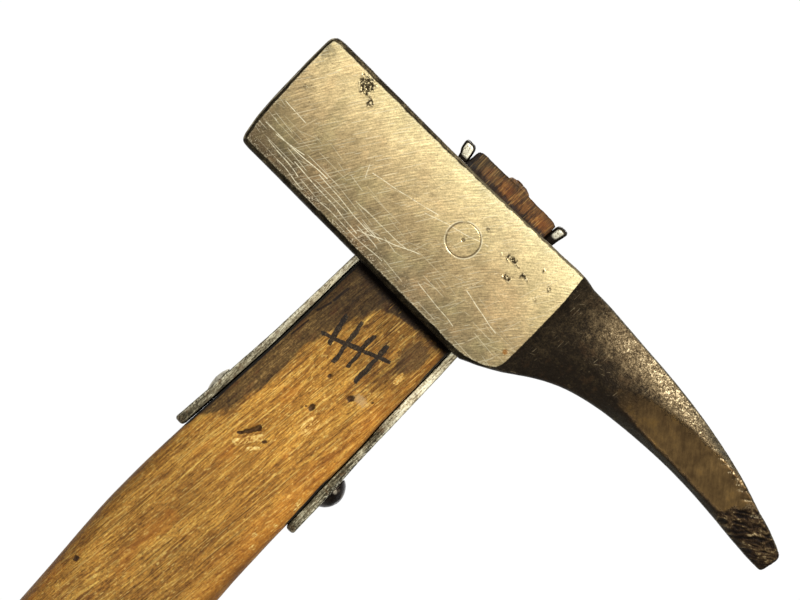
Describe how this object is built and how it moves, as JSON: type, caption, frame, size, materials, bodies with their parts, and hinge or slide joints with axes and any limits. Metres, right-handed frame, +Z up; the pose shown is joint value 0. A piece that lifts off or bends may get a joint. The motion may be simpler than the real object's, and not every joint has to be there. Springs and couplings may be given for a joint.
{
  "type": "ice axe",
  "caption": "Short hammer-headed ice axe: forged steel head with a square hammer block and drooped plain pick, wooden shaft, riveted side straps, ferrule and spike",
  "frame": {"origin": "centre of the leash hole, on the shaft's centre line", "axes": "+Z up the shaft to the head, +X along the pick, +Y across the head's thickness"},
  "size_m": [0.1681, 0.026, 0.3513],
  "materials": {
    "head_steel": "ground cheeks, dark forge scale on the pick",
    "strap_steel": "dull galvanised",
    "rivet_steel": "blackened",
    "ferrule_steel": "dull, worn",
    "spike_steel": "dull, worn",
    "shaft_wood": "worn, dark stain under the head",
    "wedge_wood": "weathered end grain"
  },
  "bodies": {
    "root": {"head": "head_steel", "shaft": "shaft_wood", "strap_rear": "strap_steel", "strap_front": "strap_steel", "cross_rivet": "rivet_steel", "eye_wedge": "wedge_wood", "ferrule": "ferrule_steel", "spike": "spike_steel", "ferrule_pin": "rivet_steel"}
  },
  "joints": []
}
